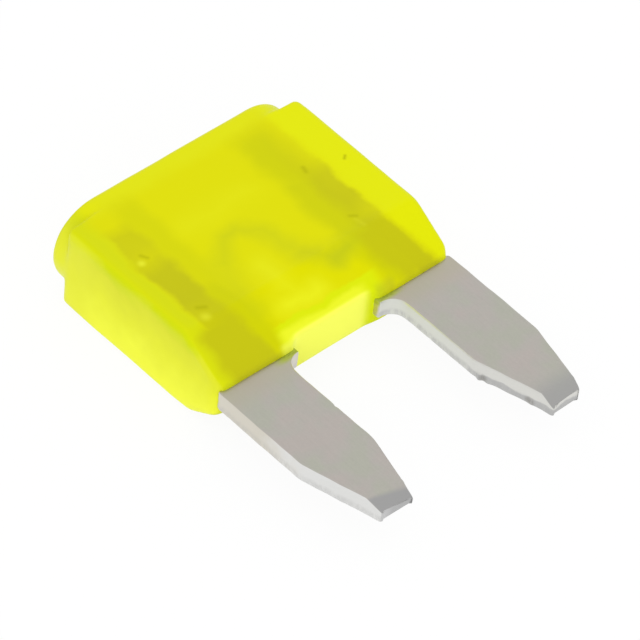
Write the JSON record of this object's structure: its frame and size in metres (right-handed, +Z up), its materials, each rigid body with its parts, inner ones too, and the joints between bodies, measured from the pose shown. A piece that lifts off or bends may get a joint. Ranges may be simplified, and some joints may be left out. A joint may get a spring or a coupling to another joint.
{
  "type": "automotive blade fuse",
  "caption": "Small blade fuse: a flat translucent plastic housing with a round-ended head, gripping a stamped metal element whose parallel blades plug into a fuse socket.",
  "frame": {"origin": "bottom centre of the bounding box, with the fuse lying on the back face of its housing", "axes": "+X across the blades, +Y along the blades towards the head, +Z up out of the front face"},
  "size_m": [0.011, 0.0164, 0.0036],
  "materials": {
    "housing": "gloss",
    "fuse_element": "satin"
  },
  "bodies": {
    "root": {"housing": "housing", "fuse_element": "fuse_element"}
  },
  "joints": []
}
